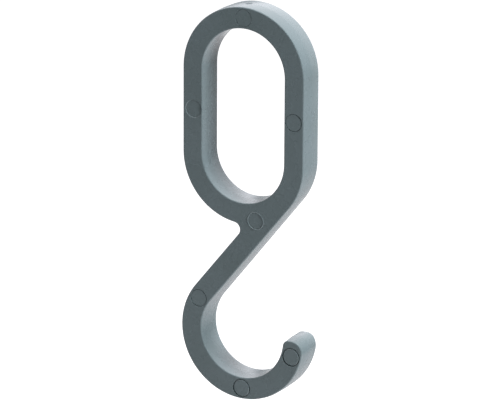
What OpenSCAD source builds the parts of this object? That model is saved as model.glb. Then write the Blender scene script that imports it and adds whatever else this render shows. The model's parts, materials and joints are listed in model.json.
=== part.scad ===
// Closet rod hook: a closed eye that slides onto an oval wardrobe tube, a slanted shank
// and an open hook for a hanger, moulded in one piece of plastic.
//
// It is drawn lying on its back with its front face up and the middle of the eye at the
// origin, and stood upright at the end. The mould parts at mid-depth, so every side wall
// leans in from there to both faces and ends in a small round. One profile has that wall
// with plastic behind it. It is swept along each line and arc of the outline, and the
// plastic behind the two walls of a band overlaps in its middle.

/* [Wardrobe tube] */
// Width of the oval tube that the eye slides on
tube_w = 15; // [12:0.5:18]
// Height of the oval tube
tube_h = 30; // [26:0.5:36]
// Clearance between the tube and the eye, all round
tube_fit = 0.5; // [0.2:0.1:1]

/* [Eye, shank and hook] */
// Width of the band round the tube
eye_band = 3.6; // [3:0.1:5]
// Width of the band of the shank and the hook
hook_band = 3.75; // [3:0.05:5]
// Inside radius of the hook
hook_r = 8.1; // [6:0.1:10]
// Drop from the middle of the eye to the middle of the hook
hook_drop = 39; // [36:0.5:60]
// Height of the tip below the middle of the hook
tip_drop = 0.3; // [0:0.1:3]
// Corner radius of the tip on the inside of the hook
tip_in_r = 1.1; // [0.5:0.1:1.4]
// Corner radius of the tip on the outside of the hook
tip_out_r = 1.8; // [0.5:0.1:1.8]
// Radius of the fillet where the shank leaves the eye
neck_r = 1.3; // [0.8:0.1:1.8]

/* [Moulding] */
// Depth from the front face to the back face
depth = 5.5; // [4:0.1:8]
// Angle at which the side walls lean in from the parting line
draft = 1.5; // [0.5:0.25:3]
// Radius along the edges of both faces
edge_r = 0.2; // [0.1:0.05:0.4]

/* [Ejector pin marks] */
// Diameter of the marks
pin_d = 3; // [1.5:0.1:3]
// Depth of the discs that the pins leave in the front face
pin_sink = 0.05; // [0.02:0.01:0.2]
// Width of the groove round the marks on the hook
pin_gap = 0.15; // [0.1:0.01:0.2]

/* [Hidden] */
$fn = 96;

function polar(r, a) = r * [cos(a), sin(a)];
function bearing(v) = atan2(v[1], v[0]);

// Wall profile: the sharp corner of a wall and a face, and the middle and end of its round
half = depth / 2;
lean = half * tan(draft);
corner = [-lean, half];
round_c = [-(edge_r + (half - edge_r) * sin(draft)) / cos(draft), half - edge_r];
lip = round_c + polar(edge_r, draft);
inset = edge_r + lean;

// Eye: two bows joined by two straight sides
hole_r = tube_w / 2 + tube_fit;
eye_r = hole_r + eye_band;
eye_mid = hole_r + eye_band / 2;
eye_back = eye_band - 1.5 * inset; // plastic behind a wall, short of the opposite wall's round
top_c = [0, (tube_h - tube_w) / 2];
low_c = -top_c;

// Shank: its right edge runs on from the outside of the eye to the inside of the hook.
// It is drawn turned by its slant, with the middle of the hook at the origin.
hook_c = [0, -hook_drop];
hook_mid = hook_r + hook_band / 2;
hook_out = hook_r + hook_band;
hook_back = hook_band - 1.5 * inset;
shank_right = max(eye_r, hole_r + hook_band); // both distances are across, from low_c
shank_left = shank_right - hook_band;
slant = asin((shank_right + hook_r) / norm(hook_c - low_c));
turned_low_c = [-hook_r - shank_right, norm(hook_c - low_c) * cos(slant)];

// Cheek: the larger arc that takes the outside of the eye out to the shank's right edge
cheek_shift = (shank_right - eye_r) / (1 - cos(slant));
cheek_r = eye_r + cheek_shift;
right_end = turned_low_c[1] - cheek_shift * sin(slant);

// Neck: the fillet between the outside of the eye and the shank's left edge. The plastic
// behind it reaches where the backs of the eye's inner wall and the shank's right wall cross.
neck_fall = sqrt(pow(eye_r + neck_r, 2) - pow(shank_left - neck_r, 2));
neck_c = [-hook_out - neck_r, turned_low_c[1] - neck_fall];
neck_turn = bearing(turned_low_c - neck_c);
back_x = shank_right - hook_back;
back_fall = sqrt(pow(hole_r + eye_back, 2) - pow(back_x, 2));
neck_back = norm([back_x - shank_left + neck_r, neck_fall - back_fall]) - neck_r + 0.1;

// Tip: two round corners and a short level end, from the middle of the hook. Each corner
// stands 0.01 out of the walls that it joins, so that they cross and no sliver is left.
proud = 0.01;
in_r = min(tip_in_r, 0.48 * hook_band);
out_r = min(tip_out_r, 0.48 * hook_band);
in_fall = asin((tip_drop + in_r) / (hook_r + in_r - proud));
out_fall = asin((tip_drop + out_r) / (hook_out - out_r + proud));
in_c = polar(hook_r + in_r - proud, -in_fall);
out_c = polar(hook_out - out_r + proud, -out_fall);

// Middles of the pin marks
eye_marks = [
    top_c + [0, eye_mid],
    [-eye_mid, 0],
    [eye_mid, 0],
    low_c + polar(eye_mid - 1, -slant) + polar(6.9, -90 - slant),
];
hook_marks = [for (a = [150, 270, 343.5]) hook_c + polar(hook_mid, a)];

// What the round takes off the corner of the wall and the front face
module corner_waste() {
    difference() {
        polygon([round_c, [round_c[0], half], corner, lip]);
        translate(round_c) circle(edge_r);
    }
}

// A wall at x = 0 that faces +x, with plastic behind it
module wall_profile(thick) {
    difference() {
        polygon([[-thick, -half], [-thick, half], corner, [0, 0], [-lean, -half]]);
        corner_waste();
        mirror([0, 1]) corner_waste();
    }
}

// Straight wall from p to q that faces left of the way it goes
module straight_wall(p, q, thick) {
    translate(p) rotate(bearing(q - p) + 90) rotate([90, 0, 0])
        linear_extrude(height = norm(q - p)) wall_profile(thick);
}

// Round wall about c from angle a0 to a1 that faces outwards
module round_wall(c, r, a0, a1, thick) {
    translate(c) rotate(a0) rotate_extrude(angle = a1 - a0)
        translate([r, 0]) wall_profile(thick);
}

// Round wall about c from angle a0 to a1 that faces c
module hollow_wall(c, r, a0, a1, thick) {
    translate(c) rotate(a0) rotate_extrude(angle = a1 - a0)
        translate([r, 0]) mirror([1, 0]) wall_profile(thick);
}

module eye() {
    hollow_wall(top_c, hole_r, 0, 180, eye_back);
    hollow_wall(low_c, hole_r, 180, 360, eye_back);
    round_wall(top_c, eye_r, 0, 180, eye_back);
    round_wall(low_c, eye_r, 180, 180 + neck_turn - slant, eye_back);
    round_wall(low_c - [cheek_shift, 0], cheek_r, -slant, 0, eye_back);
    for (s = [-1, 1]) {
        straight_wall([s * hole_r, s * low_c[1]], [s * hole_r, s * top_c[1]], eye_back);
        straight_wall([s * eye_r, s * top_c[1]], [s * eye_r, s * low_c[1]], eye_back);
    }
}

module shank() {
    straight_wall([-hook_r, right_end], [-hook_r, 0], hook_back);
    straight_wall([-hook_out, 0], [-hook_out, neck_c[1]], hook_back);
    hollow_wall(neck_c, neck_r, 0, neck_turn, neck_back);
}

module open_hook() {
    hollow_wall([0, 0], hook_r, 180, 360 + slant - in_fall, 2 / 3 * hook_band);
    round_wall([0, 0], hook_out, 180, 360 + slant - out_fall, 2 / 3 * hook_band);
}

module tip_corner(c, r) {
    translate(c) {
        rotate_extrude() translate([r, 0]) wall_profile(0.9 * r);
        cylinder(r = r / 2, h = depth, center = true);
    }
}

module tip() {
    tip_corner(in_c, in_r);
    tip_corner(out_c, out_r);
    straight_wall([in_c[0], -tip_drop - proud], [out_c[0], -tip_drop - proud], in_r / 2);
}

// A shallow disc, with a groove along its rim where a depth is given for one
module pin_mark(groove = 0) {
    translate([0, 0, half - pin_sink]) cylinder(d = pin_d, h = 1);
    if (groove > 0) translate([0, 0, half - groove]) difference() {
        cylinder(d = pin_d, h = 1);
        translate([0, 0, -1]) cylinder(d = pin_d - 2 * pin_gap, h = 3);
    }
}

module hook() {
    color([0.33, 0.38, 0.4]) rotate([90, 0, 0]) difference() {
        union() {
            eye();
            translate(hook_c) rotate(-slant) {
                shank();
                open_hook();
            }
            translate(hook_c) tip();
        }
        for (p = eye_marks) translate(p) pin_mark();
        for (p = hook_marks) translate(p) pin_mark(3 * pin_sink);
    }
}

hook();
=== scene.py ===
# %% [markdown]
# # A moulded hook for a wardrobe tube
#
# The real thing is one piece of grey plastic, about 70 mm tall. A closed oval eye slides on
# the tube, a slanted shank drops from it, and an open hook at the bottom takes a hanger. The
# CAD model settles where it is and which way it faces. Here its outline is drawn once more as
# a clean mesh, with some sizes corrected by tenths of a millimetre and with finer marks on
# its front face. Then it gets a finish, light and a camera. Everything is in metres, and +Z
# is up.

# %% Load the hook
import bmesh
import bpy
import json
from math import asin, atan2, ceil, cos, degrees, radians, sin, sqrt
from mathutils import Matrix, Vector

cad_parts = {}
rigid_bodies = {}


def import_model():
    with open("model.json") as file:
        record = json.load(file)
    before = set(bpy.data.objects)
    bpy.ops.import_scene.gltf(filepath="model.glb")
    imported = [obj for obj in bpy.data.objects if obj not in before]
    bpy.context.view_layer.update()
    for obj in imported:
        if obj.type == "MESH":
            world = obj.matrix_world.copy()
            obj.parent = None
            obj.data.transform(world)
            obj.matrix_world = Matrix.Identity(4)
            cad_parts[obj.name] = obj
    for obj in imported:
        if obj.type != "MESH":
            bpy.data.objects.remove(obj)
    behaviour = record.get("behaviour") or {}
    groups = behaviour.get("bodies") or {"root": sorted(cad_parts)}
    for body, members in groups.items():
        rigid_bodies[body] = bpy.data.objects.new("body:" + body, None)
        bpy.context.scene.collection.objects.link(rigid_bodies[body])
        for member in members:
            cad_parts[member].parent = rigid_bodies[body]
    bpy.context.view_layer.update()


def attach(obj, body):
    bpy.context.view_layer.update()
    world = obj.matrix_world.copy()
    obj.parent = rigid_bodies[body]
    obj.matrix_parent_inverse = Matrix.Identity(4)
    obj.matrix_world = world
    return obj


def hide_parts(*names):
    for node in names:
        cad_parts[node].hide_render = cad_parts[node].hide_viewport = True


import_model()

# %% [markdown]
# ## Sizes
#
# The hook is drawn flat, with the middle of the eye at the origin, and stood up at the end.
# A size across the outline is the one at mid-depth, where the mould parts and the hook is
# fullest. The shank hangs askew: its right edge touches the inside circle of the hook and
# passes the middle of the eye's lower bow at a set distance, which gives the slant.

# %% Sizes in metres
MM = 0.001
HOLE_R, EYE_BAND, BOW_Z = 7.9 * MM, 3.9 * MM, 7.5 * MM
HOOK_R, HOOK_BAND, HOOK_DROP = 8 * MM, 4.05 * MM, 39.2 * MM
CHEEK_R, NECK_R = 11.4 * MM, 1.2 * MM
TIP_RISE, TIP_IN_R, TIP_OUT_R = 0.2 * MM, 1.2 * MM, 2.1 * MM
DEPTH, DRAFT, EDGE_R = 5.5 * MM, radians(1.5), 0.2 * MM
HALF_TURN = radians(180)
QUARTER = HALF_TURN / 2


def polar(r, angle):
    return Vector((r * cos(angle), r * sin(angle), 0))


def bearing(v):
    return atan2(v.y, v.x)


print("hole %.1f x %.1f mm" % (2 * HOLE_R / MM, 2 * (HOLE_R + BOW_Z) / MM))

# %% [markdown]
# ## What the sizes fix
#
# The rest of the outline follows from the sizes, because every arc has to meet its neighbours
# without a kink. The slant is found first. The cheek is the arc that leads from the eye's
# right side into the shank, the neck is the fillet where the shank leaves the eye on the
# left, and the tip ends in two more arcs. Each needs a centre that touches both its
# neighbours, so these are typed as sums rather than as measures.

# %% Centres and angles
eye_r = HOLE_R + EYE_BAND
hook_out = HOOK_R + HOOK_BAND
top, low, hook_c = Vector((0, BOW_Z, 0)), Vector((0, -BOW_Z, 0)), Vector((0, -HOOK_DROP, 0))
reach = (low - hook_c).length
slant = asin((HOLE_R + HOOK_BAND + HOOK_R) / reach)

cheek_z = ((eye_r - CHEEK_R) * cos(slant) + HOOK_R + CHEEK_R) / sin(slant) - HOOK_DROP
cheek = Vector((eye_r - CHEEK_R, cheek_z, 0))

neck_fall = sqrt((eye_r + NECK_R) ** 2 - (HOLE_R - NECK_R) ** 2)
neck = hook_c + Matrix.Rotation(-slant, 3, "Z") @ Vector(
    (-hook_out - NECK_R, reach * cos(slant) - neck_fall, 0))
neck_turn = bearing(low - neck)

in_fall = asin((TIP_IN_R - TIP_RISE) / (HOOK_R + TIP_IN_R))
out_fall = asin((TIP_OUT_R - TIP_RISE) / (hook_out - TIP_OUT_R))
tip_in = hook_c + polar(HOOK_R + TIP_IN_R, -in_fall)
tip_out = hook_c + polar(hook_out - TIP_OUT_R, -out_fall)
print("slant %.1f deg, neck turns %.1f deg" % (degrees(slant), degrees(neck_turn)))

# %% [markdown]
# ## The outline, drawn with a pen
#
# The pen is one vertex. `extrude_vert_indiv` pulls a straight edge out of it and `spin`
# swings it round a centre, so every arc runs on from the last stroke with no kink. A curve
# object could draw this too, but its arcs are only close to round.

# %% Pen strokes
FACET = radians(3)


def line(mesh, pen, to):
    fresh = bmesh.ops.extrude_vert_indiv(mesh, verts=[pen])["verts"][0]
    fresh.co = to
    return fresh


def arc(mesh, pen, centre, angle):
    steps = max(4, ceil(abs(angle) / FACET))
    spun = bmesh.ops.spin(mesh, geom=[pen], cent=centre, axis=(0, 0, 1),
                          angle=angle, steps=steps)
    return next(v for v in spun["geom_last"] if isinstance(v, bmesh.types.BMVert))


def draw(mesh, start, strokes):
    first = pen = mesh.verts.new(start)
    for stroke in strokes:
        pen = arc(mesh, pen, *stroke) if isinstance(stroke, tuple) else line(mesh, pen, stroke)
    gap = (pen.co - first.co).length
    bmesh.ops.weld_verts(mesh, targetmap={pen: first})
    return gap


print("a full circle has", ceil(2 * HALF_TURN / FACET), "facets")

# %% [markdown]
# ## Two closed loops
#
# A stroke is a point to go to, or a centre and an angle to swing through. Both loops start
# on the eye's right side, at the bottom of its straight part. The outline goes up and over
# the eye, down its left side, round the neck and the hook to the tip, and then back along the
# inside of the hook and up the shank.

# %% Hole and outline
HOLE = (Vector((HOLE_R, -BOW_Z, 0)), [
    Vector((HOLE_R, BOW_Z, 0)), (top, HALF_TURN),
    Vector((-HOLE_R, -BOW_Z, 0)), (low, HALF_TURN)])
OUTSIDE = (cheek + polar(CHEEK_R, 0), [
    Vector((eye_r, BOW_Z, 0)), (top, HALF_TURN),
    Vector((-eye_r, -BOW_Z, 0)), (low, neck_turn), (neck, -neck_turn - slant),
    hook_c + polar(hook_out, HALF_TURN - slant), (hook_c, HALF_TURN - out_fall + slant),
    (tip_out, QUARTER + out_fall),
    tip_in + polar(TIP_IN_R, QUARTER), (tip_in, QUARTER - in_fall),
    (hook_c, in_fall - HALF_TURN - slant),
    cheek + polar(CHEEK_R, -slant), (cheek, slant)])
print("outline drawn in", len(OUTSIDE[1]), "strokes, hole in", len(HOLE[1]))

# %% [markdown]
# ## From outline to body
#
# The outline is filled, and the filled face is then raised from mid-depth in small steps.
# Each step is an inset: so far in, so far up. The first is the drafted wall, which leans in
# so that the hook comes out of its mould. The next four are the round edge, and the last is
# a narrow flat rim that keeps the shading of the face even.

# %% Wall profile
EDGE_FACETS, FLAT_RIM = 4, 0.03 * MM
half = DEPTH / 2
round_x = (EDGE_R + (half - EDGE_R) * sin(DRAFT)) / cos(DRAFT)
profile = [Vector((0, 0))]
for i in range(EDGE_FACETS + 1):
    angle = DRAFT + (QUARTER - DRAFT) * i / EDGE_FACETS
    profile.append(Vector((EDGE_R * cos(angle) - round_x, half - EDGE_R + EDGE_R * sin(angle))))
profile.append(profile[-1] - Vector((FLAT_RIM, 0)))
STEPS = [(a.x - b.x, b.y - a.y) for a, b in zip(profile, profile[1:])]
reach_in = sum(inward for inward, _ in STEPS)
print("flat face starts %.2f mm inside the outline, %d steps" % (reach_in / MM, len(STEPS)))

# %% [markdown]
# ## Half a body
#
# `inset_region` with both a thickness and a depth moves the border of a face sideways and the
# face itself upwards, and leaves the wall behind. `triangle_fill` makes the face, because it
# copes with the hole. The last stroke of a loop should come back to its first point, and the
# gap that is printed says how well the sizes agree.

# %% Raise a half

def raise_faces(mesh, faces, steps):
    for inward, upward in steps:
        bmesh.ops.inset_region(mesh, faces=faces, use_boundary=True, use_even_offset=True,
                               thickness=inward, depth=upward)


def fill(mesh, edges):
    filled = bmesh.ops.triangle_fill(mesh, use_beauty=True, edges=edges, normal=(0, 0, 1))
    return [g for g in filled["geom"] if isinstance(g, bmesh.types.BMFace)]


def half_body():
    mesh = bmesh.new()
    gaps = [draw(mesh, *loop) for loop in (HOLE, OUTSIDE)]
    cap = fill(mesh, mesh.edges[:])
    raise_faces(mesh, cap, STEPS)
    return mesh, cap, gaps


front, cap, gaps = half_body()
print("gap where the pen came back: %.5f mm" % (1000 * max(gaps)))

# %% [markdown]
# ## Ejector pin marks
#
# Pins push the hook out of the mould, and each leaves a round mark on the front face. The
# disc on the left of the eye is low, others have only a thin line round them, and at the neck
# the plastic crept past the pin and left a ridge. At the bottom of the hook and at its tip
# the pins have worn rims, which leave a groove round the disc. A mark is a round face that is
# let into the face and then inset in steps, too. No pin sits quite in the middle of its band.

# %% Kinds and places of the marks
PIN_R, WORN_PIN_R = 1.6 * MM, 1.68 * MM
LOW = [(0.08 * MM, -0.08 * MM)]
THIN = [(0.03 * MM, -0.07 * MM), (0.06 * MM, 0), (0.05 * MM, 0.05 * MM)]
DEEP = [(0.02 * MM, -0.12 * MM), (0.07 * MM, 0), (0.05 * MM, 0.08 * MM)]
RIDGE = [(0.06 * MM, 0.06 * MM), (0.04 * MM, 0), (0.06 * MM, -0.09 * MM)]
GROOVE = [(0.02 * MM, -0.25 * MM), (0.13 * MM, 0),
          (0.02 * MM, 0.2 * MM), (0.08 * MM, 0.07 * MM)]
eye_mid, hook_mid = HOLE_R + EYE_BAND / 2, HOOK_R + HOOK_BAND / 2
bend_angle, tip_angle = radians(148.8), radians(344.4)
past_neck = low + polar(eye_mid - 1.05 * MM, -slant) + polar(6.8 * MM, -QUARTER - slant)
MARKS = [
    (top + polar(eye_mid, QUARTER), PIN_R, THIN),
    (Vector((0.2 * MM - eye_mid, 0.1 * MM, 0)), PIN_R, LOW),
    (Vector((eye_mid - 0.05 * MM, 0.2 * MM, 0)), PIN_R, DEEP),
    (past_neck, PIN_R, RIDGE),
    (hook_c + polar(hook_mid, bend_angle), PIN_R, DEEP),
    (hook_c + polar(hook_mid, 3 * QUARTER), WORN_PIN_R, GROOVE),
    (hook_c + polar(hook_mid + 0.04 * MM, tip_angle), WORN_PIN_R, GROOVE),
]
print(len(MARKS), "marks, across %.1f mm" % (2 * PIN_R / MM))

# %% [markdown]
# ## Let the marks into the face
#
# The front face is taken off and filled again round the discs, so that each disc becomes a
# face of its own with a round edge. A Boolean could cut them too, but this way every face
# stays flat and nothing has to be cleaned up.

# %% Discs in the front face
DISC_EDGES = 48
rim = [e for e in front.edges if any(f in cap for f in e.link_faces)
       and not all(f in cap for f in e.link_faces)]
bmesh.ops.delete(front, geom=cap, context="FACES")
discs = []
for place, radius, steps in MARKS:
    on_face = Matrix.Translation(place + Vector((0, 0, half)))
    made = bmesh.ops.create_circle(front, cap_ends=True, segments=DISC_EDGES,
                                   radius=radius, matrix=on_face)
    disc = made["verts"][0].link_faces[0]
    rim += disc.edges[:]
    discs.append((disc, steps))
fill(front, rim)
for disc, steps in discs:
    if disc.normal.z < 0:
        disc.normal_flip()
    raise_faces(front, [disc], steps)
print("front half:", len(front.verts), "vertices")

# %% [markdown]
# ## One closed body
#
# The back half is the same outline without marks, turned over. It goes in the same mesh, and
# the two halves share the points of the parting line, so they join when doubles are merged.

# %% Join the halves
SAME_PLACE = 0.001 * MM
back, _, _ = half_body()
bmesh.ops.rotate(back, verts=back.verts, cent=(0, 0, 0),
                 matrix=Matrix.Rotation(HALF_TURN, 3, "Y"))
bmesh.ops.scale(back, verts=back.verts, vec=(-1, 1, 1))
bmesh.ops.reverse_faces(back, faces=back.faces)
shell = bpy.data.meshes.new("hook_shell")
back.to_mesh(shell)
back.free()
front.from_mesh(shell)
bmesh.ops.remove_doubles(front, verts=front.verts, dist=SAME_PLACE)
print("both halves:", len(front.verts), "vertices")

# %% [markdown]
# ## The slope of the tip
#
# The end of the tip isn't square to the face. It rises a little towards the back, most at its
# outer corner. Points near the end are lifted by how far back and how far out they are, and
# the lift fades out below the corners, so the bands stay as they are.

# %% Raise the back of the tip
RISE, CORNER_RISE = 0.2, 0.3
FADE_FROM, FADE_OVER, SIDE_ROOM = 2.5 * MM, 2 * MM, 0.5 * MM
lifted = 0
for vert in front.verts:
    x, y, z = vert.co
    near_end = min(1, max(0, (y + HOOK_DROP + FADE_FROM) / FADE_OVER))
    if x > HOOK_R - SIDE_ROOM and y < 0 and near_end:
        outward = (x - HOOK_R) / HOOK_BAND
        vert.co.y += near_end * (half - z) / DEPTH * (RISE + CORNER_RISE * outward) * MM
        lifted += 1
print("points in the slope:", lifted)

# %% [markdown]
# ## Stand it up and shade it
#
# The hook is turned upright, with its marks towards -Y. Edges sharper than 35 degrees stay
# crisp and the rest are shaded smooth, except for the parting line, where the two drafts meet
# in a faint crease. The flat faces aren't smoothed at all: their long triangles would smear
# the shading of the round edges across them.

# %% Stand it up
CRISP, SQUARE_TO_Y = radians(35), 0.9999
bmesh.ops.rotate(front, verts=front.verts, cent=(0, 0, 0),
                 matrix=Matrix.Rotation(QUARTER, 3, "X"))
bmesh.ops.recalc_face_normals(front, faces=front.faces)
for face in front.faces:
    face.smooth = abs(face.normal.y) < SQUARE_TO_Y
for edge in front.edges:
    parting = all(abs(v.co.y) < SAME_PLACE for v in edge.verts)
    edge.smooth = not parting and edge.calc_face_angle(0) < CRISP
open_edges = sum(not edge.is_manifold for edge in front.edges)
front.to_mesh(shell)
front.free()

hook = bpy.data.objects.new("hook_body", shell)
bpy.context.collection.objects.link(hook)
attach(hook, "root")
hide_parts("hook")
print("hook body:", len(shell.polygons), "faces,", open_edges, "open edges")

# %% [markdown]
# ## A short way to write nodes
#
# The plastic, the floor and the world are all node trees. One helper adds a node, sets its
# options, and gives each input either a value or a link from another node. It hands back the
# node's outputs, so that one call can feed the next.

# %% Node helpers
def add(tree, kind, inputs=None, **options):
    node = tree.nodes.new("ShaderNode" + kind)
    for name, value in options.items():
        setattr(node, name, value)
    for socket, value in (inputs or {}).items():
        if isinstance(value, bpy.types.NodeSocket):
            tree.links.new(value, node.inputs[socket])
        else:
            node.inputs[socket].default_value = value
    return node.outputs


def maths(tree, operation, first, second):
    return add(tree, "Math", {0: first, 1: second}, operation=operation)["Value"]


def compare(tree, operation, vector, other):
    return add(tree, "VectorMath", {0: vector, 1: other}, operation=operation)["Value"]


def ramp(tree, value, start, end, low, high):
    return add(tree, "MapRange", {"Value": value, "From Min": start, "From Max": end,
                                  "To Min": low, "To Max": high})["Result"]


def blend(tree, factor, a, b):
    return add(tree, "Mix", {"Factor": factor, "A": a, "B": b}, data_type="RGBA")["Result"]


print("node helpers: add, maths, compare, ramp, blend")

# %% [markdown]
# ## The plastic
#
# It is a mid grey with a little blue and green in it, and the mould left it half glossy. A
# flat colour would look like paint on a screen, so faint patterns break it up. A wide noise
# drifts the colour, as pigment does when it mixes in the melt. Noise reads Object
# coordinates, which are metres here, so a scale of 100 makes patches of 10 mm.

# %% Grey plastic
GREY, PALER_GREY = (0.079, 0.108, 0.112, 1), (0.09, 0.121, 0.128, 1)
PIGMENT, SHEEN, GRAIN = 90, 400, 5000
NOISE_LOW, NOISE_HIGH = 0.3, 0.7


def noise(tree, scale, detail):
    place = add(tree, "TexCoord")["Object"]
    return add(tree, "TexNoise", {"Vector": place, "Scale": scale, "Detail": detail})["Fac"]


def drift(tree, scale, detail, low, high):
    return ramp(tree, noise(tree, scale, detail), NOISE_LOW, NOISE_HIGH, low, high)


plastic = bpy.data.materials.new("grey_plastic")
plastic.use_nodes = True
tree = plastic.node_tree
shader = tree.nodes["Principled BSDF"]
shader.inputs["IOR"].default_value = 1.5
tone = blend(tree, drift(tree, PIGMENT, 2, 0, 1), GREY, PALER_GREY)
print("pigment patches of", round(1000 / PIGMENT), "mm")

# %% [markdown]
# ## The gate scar and a painted dark reflection
#
# On top of the eye is the scar where the plastic came into the mould. It has almost no
# height, so it isn't modelled: the distance to its middle gives a small round spot, which is
# more matt than the rest and fades out at its edge. The spot is also painted darker, and
# that darkness is a painted dark reflection, not the scar's own colour.

# %% Gate scar and painted dark reflection
# The dark colour of the spot is a painted dark reflection; the scar itself only makes it matt.
SCAR_AT, PAINTED_DARK_REFLECTION = (-0.4 * MM, 0, BOW_Z + eye_r), (0.035, 0.045, 0.05, 1)
SCAR_CORE, SCAR_EDGE, SCAR_AND_REFLECTION_STRENGTH = 0.5 * MM, 0.9 * MM, 0.6
from_gate = compare(tree, "DISTANCE", add(tree, "TexCoord")["Object"], SCAR_AT)
scar_and_dark_reflection = ramp(tree, from_gate, SCAR_CORE, SCAR_EDGE, SCAR_AND_REFLECTION_STRENGTH, 0)
# Painted dark reflection: the base colour is darkened over the spot.
tree.links.new(blend(tree, scar_and_dark_reflection, tone, PAINTED_DARK_REFLECTION), shader.inputs["Base Color"])
print("scar %.1f mm across" % (2 * SCAR_EDGE / MM))

# %% [markdown]
# ## Gloss and grain
#
# A second noise drifts the gloss, and the scar has the last word where it is duller. The
# finest noise goes to a bump of a fiftieth of a millimetre, weakly. That is the grain of the
# mould's steel, too fine to model, and it keeps the reflections from looking like glass.

# %% Gloss and grain
GLOSSIEST, DULLEST = 0.25, 0.3
gloss_drift = drift(tree, SHEEN, 3, GLOSSIEST, DULLEST)
tree.links.new(maths(tree, "MAXIMUM", gloss_drift, scar_and_dark_reflection), shader.inputs["Roughness"])
bump = add(tree, "Bump", {"Strength": 0.03, "Distance": 0.02 * MM,
                          "Height": noise(tree, GRAIN, 2)})
tree.links.new(bump["Normal"], shader.inputs["Normal"])
hook.data.materials.append(plastic)
print(plastic.name, "has", len(tree.nodes), "nodes")

# %% [markdown]
# ## Floor
#
# The hook hangs in the air, so a plain pale floor lies well below it and takes its shadow.
# A white backdrop needs more than pale, so the floor also gives off a little light of its
# own, but only towards the camera and into refracted views, and into mirrored ones where it
# lies behind the hook. Matt surfaces don't see it, and the shadow stays.

# %% Floor
FLOOR_Z, FLOOR_SIZE, FLOOR_GREY, FLOOR_GLOW = -0.35, 6, 0.75, 0.8
BEHIND, NEAR_LINE, FAR_LINE = (-0.8, 0.6, 0), 0.5, 0.7
WHITE = (1, 1, 1, 1)
bpy.ops.mesh.primitive_plane_add(size=FLOOR_SIZE, location=(0, 0, FLOOR_Z))
floor = bpy.context.object
floor.name = "floor"
floor_paint = bpy.data.materials.new("floor_paint")
floor_paint.use_nodes = True
tree = floor_paint.node_tree
tree.nodes.clear()
path = add(tree, "LightPath")
how_far = compare(tree, "DOT_PRODUCT", add(tree, "TexCoord")["Object"], BEHIND)
behind = ramp(tree, how_far, NEAR_LINE, FAR_LINE, 0, 1)
mirrored = maths(tree, "MULTIPLY", path["Is Glossy Ray"], behind)
seen = maths(tree, "MAXIMUM", path["Is Camera Ray"], path["Is Transmission Ray"])
shown = maths(tree, "MULTIPLY", maths(tree, "MAXIMUM", seen, mirrored), FLOOR_GLOW)
matt = add(tree, "BsdfDiffuse", {"Color": (FLOOR_GREY, FLOOR_GREY, FLOOR_GREY, 1)})
glow = add(tree, "Emission", {"Color": WHITE, "Strength": shown})
both = add(tree, "AddShader", {0: matt["BSDF"], 1: glow["Emission"]})
add(tree, "OutputMaterial", {"Surface": both["Shader"]})
floor.data.materials.append(floor_paint)

# %% [markdown]
# ## What lies around it
#
# A side wall seen at a low angle mirrors what is beyond it, so the surroundings make half of
# its colour. They are brightest high up, behind and to the left, and fade out towards the
# other side, which leaves the front face its own grey. One dark spot behind on the left
# stands for a screen, and it darkens the eye's inner wall. The world sets this by the
# direction of each ray, which is what its Generated coordinate holds. Only mirrored rays see
# it. Matt surfaces get a weaker and even light, and the camera itself sees plain white.

# %% World
BRIGHT_SIDE, DIM_AT, BRIGHT_AT, DIM, BRIGHT = (-0.6, 0.5, 0.62), -0.1, 0.87, 0.1, 2.7
SCREEN, SCREEN_EDGE, SCREEN_CORE, SCREEN_DIM = (-0.54, 0.84, 0.02), 0.975, 0.992, 0.2
EVEN_LIGHT, EVEN_STRENGTH = (0.94, 0.97, 1.0, 1), 0.22
MIRRORED_LIGHT = (0.97, 0.95, 1.0, 1)
world = bpy.data.worlds.new("studio")
bpy.context.scene.world = world
world.use_nodes = True
tree = world.node_tree
tree.nodes.clear()
path = add(tree, "LightPath")
ray = add(tree, "TexCoord")["Generated"]
gradient = ramp(tree, compare(tree, "DOT_PRODUCT", ray, BRIGHT_SIDE),
                DIM_AT, BRIGHT_AT, DIM, BRIGHT)
screen = ramp(tree, compare(tree, "DOT_PRODUCT", ray, SCREEN),
              SCREEN_EDGE, SCREEN_CORE, 1.0, SCREEN_DIM)
screened = maths(tree, "MULTIPLY", gradient, screen)
seen = maths(tree, "MAXIMUM", path["Is Camera Ray"], path["Is Transmission Ray"])
ambient = add(tree, "Background", {"Color": EVEN_LIGHT, "Strength": EVEN_STRENGTH})
gloss = add(tree, "Background", {"Color": MIRRORED_LIGHT, "Strength": screened})
white = add(tree, "Background", {"Color": WHITE, "Strength": 1.0})
by_gloss = add(tree, "MixShader", {0: path["Is Glossy Ray"], 1: ambient["Background"],
                                   2: gloss["Background"]})
by_camera = add(tree, "MixShader", {0: seen, 1: by_gloss["Shader"], 2: white["Background"]})
add(tree, "OutputWorld", {"Surface": by_camera["Shader"]})
print("world has", len(tree.nodes), "nodes")

# %% [markdown]
# ## Lamps
#
# Three soft lamps are enough. The key is above and a little to the right, and it makes the
# top of each band the palest part. The fill is to the right, for the outer walls. A weak one
# stands in front on the left and lifts the front face a little. None of them shows in a
# reflection, because a lamp mirrored in a flat face washes all of it out.

# %% Lamps
HOOK_MIDDLE = Vector((0, 0, -0.016))


def lamp(name, place, size, watts, colour):
    data = bpy.data.lights.new(name, "AREA")
    data.shape = "SQUARE"
    data.size = size
    data.energy = watts
    data.color = colour
    holder = bpy.data.objects.new(name, data)
    bpy.context.collection.objects.link(holder)
    holder.location = place
    aim = HOOK_MIDDLE - Vector(place)
    holder.rotation_euler = aim.to_track_quat("-Z", "Y").to_euler()
    holder.visible_glossy = False
    print(name, "lamp", round(aim.length, 2), "m off")


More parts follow.
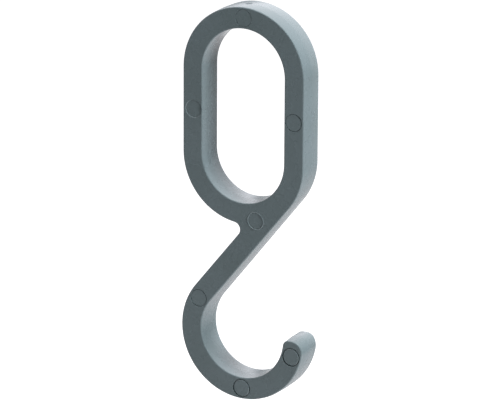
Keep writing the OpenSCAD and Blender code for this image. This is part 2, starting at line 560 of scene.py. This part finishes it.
lamp("key", (0.15, 0.1, 0.8), 0.5, 13, (1, 0.96, 0.99))
lamp("fill", (0.75, -0.14, 0.25), 0.2, 12.3, (1, 0.95, 0.98))
lamp("front", (-0.12, -0.2, -0.1), 0.1, 0.045, (0.93, 0.99, 1))

# %% [markdown]
# ## Which way the camera looks
#
# The view comes from the right and from a little above. The rotation is built from the three
# directions of the picture, across, up and back, because they are also needed to place the
# hook in the frame.

# %% View direction
turn, tilt, roll = radians(28.292), radians(16.659), radians(0.323)
across = Vector((cos(turn), sin(turn), 0))
ahead = Vector((-sin(turn) * cos(tilt), cos(turn) * cos(tilt), -sin(tilt)))
up = across.cross(ahead)
across, up = across * cos(roll) + up * sin(roll), up * cos(roll) - across * sin(roll)
print("camera looks along", [round(c, 2) for c in ahead])

# %% [markdown]
# ## Camera
#
# A long lens stands 655 mm off, so the hook's far parts shrink very little. At that distance
# one millimetre fills 5.842 pixels of a picture 500 pixels wide, and that sets the lens. The
# camera is then moved sideways until the middle of the eye's front is where it should be.

# %% Camera
PICTURE_W, PICTURE_H, SENSOR = 500, 400, 36
DISTANCE_MM, PX_PER_MM = 655, 5.842
EYE_X, EYE_Y = 242.808, 116.667
camera_data = bpy.data.cameras.new("camera")
camera_data.sensor_width = SENSOR
camera_data.lens = SENSOR * PX_PER_MM * DISTANCE_MM / PICTURE_W
camera = bpy.data.objects.new("camera", camera_data)
bpy.context.collection.objects.link(camera)
eye_front = Vector((0, -DEPTH / 2, 0))
off_across = (EYE_X - PICTURE_W / 2) / PX_PER_MM * MM
off_up = (PICTURE_H / 2 - EYE_Y) / PX_PER_MM * MM
camera.location = eye_front - DISTANCE_MM * MM * ahead - off_across * across - off_up * up
rows = zip(across, up, -ahead)
camera.rotation_euler = Matrix([list(row) for row in rows]).to_euler()
bpy.context.scene.camera = camera
print("lens", round(camera_data.lens), "mm")

# %% [markdown]
# ## Finish
#
# The plain view transform shows a colour as it is written.

# %% Finish
bpy.context.scene.view_settings.view_transform = "Standard"
